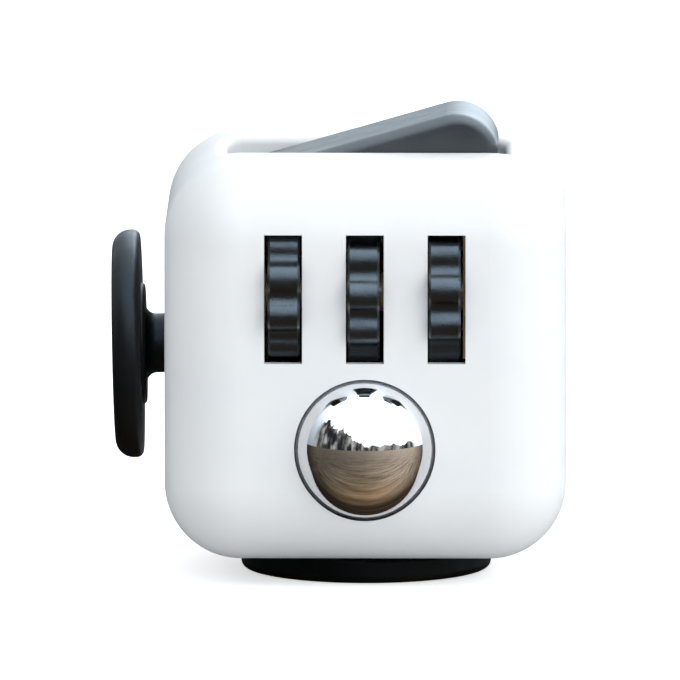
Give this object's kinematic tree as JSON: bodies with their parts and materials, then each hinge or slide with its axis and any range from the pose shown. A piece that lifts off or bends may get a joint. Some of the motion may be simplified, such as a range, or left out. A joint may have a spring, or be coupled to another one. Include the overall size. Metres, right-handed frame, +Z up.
{
  "type": "fidget cube",
  "caption": "Pocket fidget cube with thumb gears, a click ball, rocker, joystick, spin dial, push buttons and a worry dish.",
  "frame": {"origin": "centre of the spin dial's flat outer face, which the cube rests on", "axes": "+Z up through the rocker face, -Y the gear and ball face, -X the joystick face, +Y the button face, +X the worry dish face"},
  "size_m": [0.0375, 0.0378, 0.0383],
  "materials": {
    "white_shell": "satin gloss moulded ABS",
    "black_gear": "fine-textured moulded plastic",
    "black_stick": "fine matte texture",
    "slate_rocker": "satin moulded plastic",
    "black_dial": "satin moulded plastic",
    "black_button": "satin moulded plastic",
    "chrome_ball": "mirror polish",
    "steel": "turned",
    "spring_steel": "bright",
    "zinc_screw": "zinc plated",
    "natural_acetal": "unpainted acetal",
    "circuit_board": "coated glass-fibre board",
    "grey_silicone": "matte"
  },
  "bodies": {
    "housing": {"housing_base": "white_shell", "housing_hood": "white_shell", "gear_axle": "steel", "rocker_pin": "steel", "ball_spring": "spring_steel", "joystick_spring": "spring_steel", "rocker_leaf_spring": "spring_steel", "ball_click_dome": "spring_steel", "snap_domes": "spring_steel", "gear_bracket_screws": "zinc_screw", "ball_holder_screws": "zinc_screw", "rocker_leaf_screws": "zinc_screw", "joystick_socket_screws": "zinc_screw", "button_board_screws": "zinc_screw", "gear_bracket": "natural_acetal", "ball_holder": "natural_acetal", "joystick_socket": "natural_acetal", "axle_spacers": "natural_acetal", "dial_washer": "natural_acetal", "button_board": "circuit_board", "silicone_pads": "grey_silicone"},
    "gear_1": {"gear_1": "black_gear"},
    "gear_2": {"gear_2": "black_gear"},
    "gear_3": {"gear_3": "black_gear"},
    "ball_carriage": {"ball_cup": "natural_acetal"},
    "ball": {"ball": "chrome_ball"},
    "rocker": {"rocker": "slate_rocker"},
    "stick_gimbal": {"centring_washer": "spring_steel"},
    "joystick": {"joystick_cap": "black_stick", "joystick_stem": "black_stick"},
    "dial": {"dial": "black_dial", "dial_retainer": "natural_acetal", "dial_screw": "steel"},
    "button_1": {"button_1": "black_button"},
    "button_2": {"button_2": "black_button"},
    "button_3": {"button_3": "black_button"},
    "button_4": {"button_4": "black_button"},
    "button_5": {"button_5": "black_button"}
  },
  "joints": [
    {"name": "gear_1_roll", "type": "hinge", "parent": "housing", "child": "gear_1", "pos_m": [-0.00663, -0.0122, 0.0245], "axis": [1, 0, 0], "continuous": true},
    {"name": "gear_2_roll", "type": "hinge", "parent": "housing", "child": "gear_2", "pos_m": [-0.0001, -0.0122, 0.0245], "axis": [1, 0, 0], "continuous": true},
    {"name": "gear_3_roll", "type": "hinge", "parent": "housing", "child": "gear_3", "pos_m": [0.00653, -0.0122, 0.0245], "axis": [1, 0, 0], "continuous": true},
    {"name": "ball_press", "type": "slide", "parent": "housing", "child": "ball_carriage", "axis": [0, 1, 0], "range_m": [0, 0.0006], "stiffness_N_per_m": 600, "springref_m": -0.0006, "deforming": ["ball_spring"]},
    {"name": "ball_roll", "type": "hinge", "parent": "ball_carriage", "child": "ball", "pos_m": [0, -0.01417, 0.01202], "axis": [1, 0, 0], "continuous": true},
    {"name": "rocker_flip", "type": "hinge", "parent": "housing", "child": "rocker", "pos_m": [0, 0, 0.0322], "axis": [0, 1, 0], "range_deg": [0, 32]},
    {"name": "stick_tilt_up_down", "type": "hinge", "parent": "housing", "child": "stick_gimbal", "pos_m": [-0.0126, 0, 0.0187], "axis": [0, 1, 0], "range_deg": [-5, 7], "stiffness_Nm_per_rad": 0.006},
    {"name": "stick_tilt_side", "type": "hinge", "parent": "stick_gimbal", "child": "joystick", "pos_m": [-0.0126, 0, 0.0187], "axis": [0, 0, 1], "range_deg": [-6, 6], "stiffness_Nm_per_rad": 0.006},
    {"name": "dial_spin", "type": "hinge", "parent": "housing", "child": "dial", "pos_m": [0, 0, 0], "axis": [0, 0, 1], "continuous": true},
    {"name": "button_1_press", "type": "slide", "parent": "housing", "child": "button_1", "axis": [0, -1, 0], "range_m": [0, 0.0006], "stiffness_N_per_m": 250, "springref_m": -0.0002},
    {"name": "button_2_press", "type": "slide", "parent": "housing", "child": "button_2", "axis": [0, -1, 0], "range_m": [0, 0.0006], "stiffness_N_per_m": 250, "springref_m": -0.0002},
    {"name": "button_3_press", "type": "slide", "parent": "housing", "child": "button_3", "axis": [0, -1, 0], "range_m": [0, 0.0006], "stiffness_N_per_m": 250, "springref_m": -0.0002},
    {"name": "button_4_press", "type": "slide", "parent": "housing", "child": "button_4", "axis": [0, -1, 0], "range_m": [0, 0.0006], "stiffness_N_per_m": 250, "springref_m": -0.0002},
    {"name": "button_5_press", "type": "slide", "parent": "housing", "child": "button_5", "axis": [0, -1, 0], "range_m": [0, 0.0006], "stiffness_N_per_m": 250, "springref_m": -0.0002}
  ]
}
